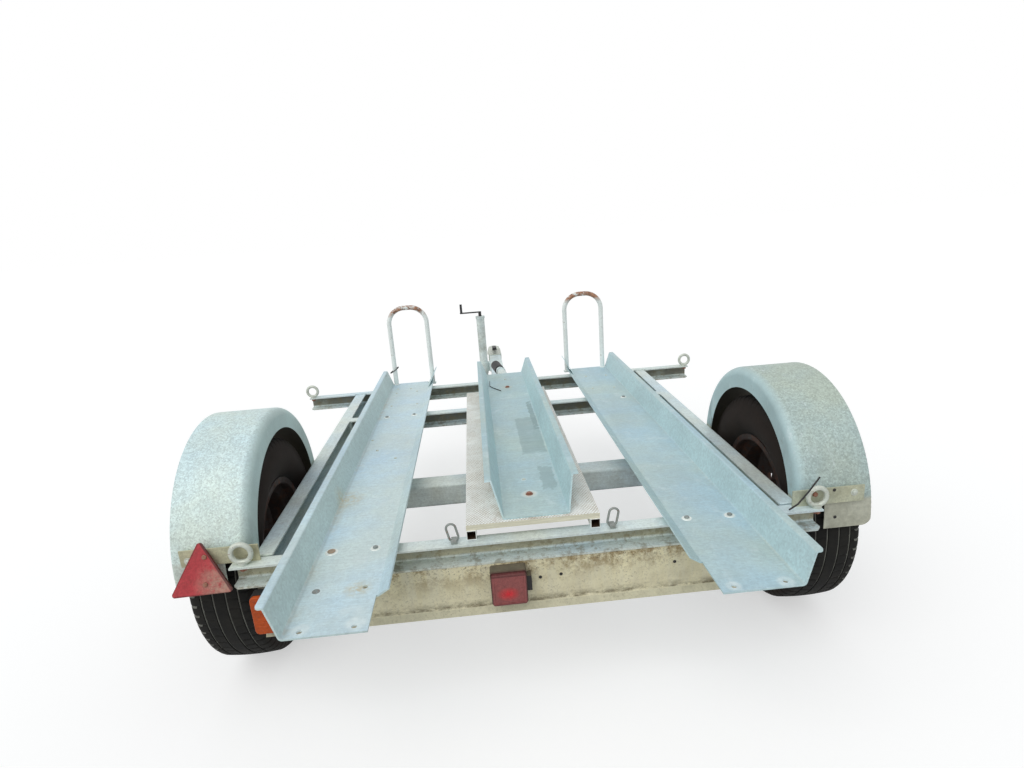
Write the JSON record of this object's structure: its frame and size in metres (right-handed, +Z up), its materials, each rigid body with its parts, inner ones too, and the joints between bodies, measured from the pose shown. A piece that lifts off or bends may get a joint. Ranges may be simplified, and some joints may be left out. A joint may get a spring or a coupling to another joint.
{
  "type": "motorcycle trailer",
  "caption": "Open motorcycle trailer: channels for motorcycles on a galvanised frame, one axle, sheet mudguards, front hoops, drawbar with ball coupling and jockey wheel.",
  "frame": {"origin": "on the ground, under the middle of the trailer's length and width", "axes": "+Y forward to the coupling, +X to the right seen from behind, +Z up"},
  "size_m": [1.908, 2.95, 0.854],
  "materials": {
    "galvanised": "weathered zinc",
    "anti_slip_board": "film-faced plywood, dirty",
    "white_paint": "gloss, chipped",
    "rusty_iron": "rusty",
    "wheel_paint": "faded, rusty",
    "tyre_rubber": "matt",
    "hard_rubber": "matt",
    "black_plastic": "matt",
    "zinc_plated": "zinc plated",
    "cream_paint": "matt, stained",
    "amber_lens": "gloss",
    "red_lens": "gloss"
  },
  "bodies": {
    "chassis": {"amber_lenses": "amber_lens", "axle_arm_left": "rusty_iron", "axle_arm_right": "rusty_iron", "axle_beam": "galvanised", "board": "anti_slip_board", "board_bearers": "galvanised", "coupling": "zinc_plated", "coupling_handle": "black_plastic", "cross_member_front": "galvanised", "cross_member_middle": "galvanised", "cross_member_rear": "galvanised", "drawbar": "galvanised", "eye_nuts": "galvanised", "fog_lamp": "black_plastic", "fog_lens": "red_lens", "front_tube": "galvanised", "front_tube_cap": "black_plastic", "hoop_left": "white_paint", "hoop_right": "white_paint", "hoop_tabs": "galvanised", "jockey_clamp": "galvanised", "jockey_crank": "black_plastic", "jockey_tube": "galvanised", "lashing_rings": "galvanised", "mudguard_left": "galvanised", "mudguard_right": "galvanised", "mudguard_straps": "galvanised", "rear_lamps": "black_plastic", "rear_panel": "cream_paint", "red_lenses": "red_lens", "side_rail_left": "galvanised", "side_rail_right": "galvanised", "triangle_reflector": "red_lens", "trough_centre": "galvanised", "trough_left": "galvanised", "trough_right": "galvanised"},
    "wheel_left": {"hub_left": "rusty_iron", "rim_left": "wheel_paint", "tyre_left": "tyre_rubber"},
    "wheel_right": {"hub_right": "rusty_iron", "rim_right": "wheel_paint", "tyre_right": "tyre_rubber"},
    "jockey_leg": {"jockey_inner_tube": "galvanised"},
    "jockey_swivel": {"jockey_fork": "galvanised"},
    "jockey_roller": {"jockey_wheel": "hard_rubber"}
  },
  "joints": [
    {"name": "wheel_left_turn", "type": "hinge", "parent": "chassis", "child": "wheel_left", "pos_m": [-0.824, -0.807, 0.322], "axis": [1, 0, 0], "continuous": true},
    {"name": "wheel_right_turn", "type": "hinge", "parent": "chassis", "child": "wheel_right", "pos_m": [0.824, -0.807, 0.322], "axis": [1, 0, 0], "continuous": true},
    {"name": "jockey_leg_slide", "type": "slide", "parent": "chassis", "child": "jockey_leg", "axis": [0, 0, 1], "range_m": [-0.13, 0.06]},
    {"name": "jockey_swivel_turn", "type": "hinge", "parent": "jockey_leg", "child": "jockey_swivel", "pos_m": [-0.075, 1.065, 0.235], "axis": [0, 0, 1], "continuous": true},
    {"name": "jockey_roller_turn", "type": "hinge", "parent": "jockey_swivel", "child": "jockey_roller", "pos_m": [-0.075, 1.023, 0.1], "axis": [1, 0, 0], "continuous": true}
  ]
}
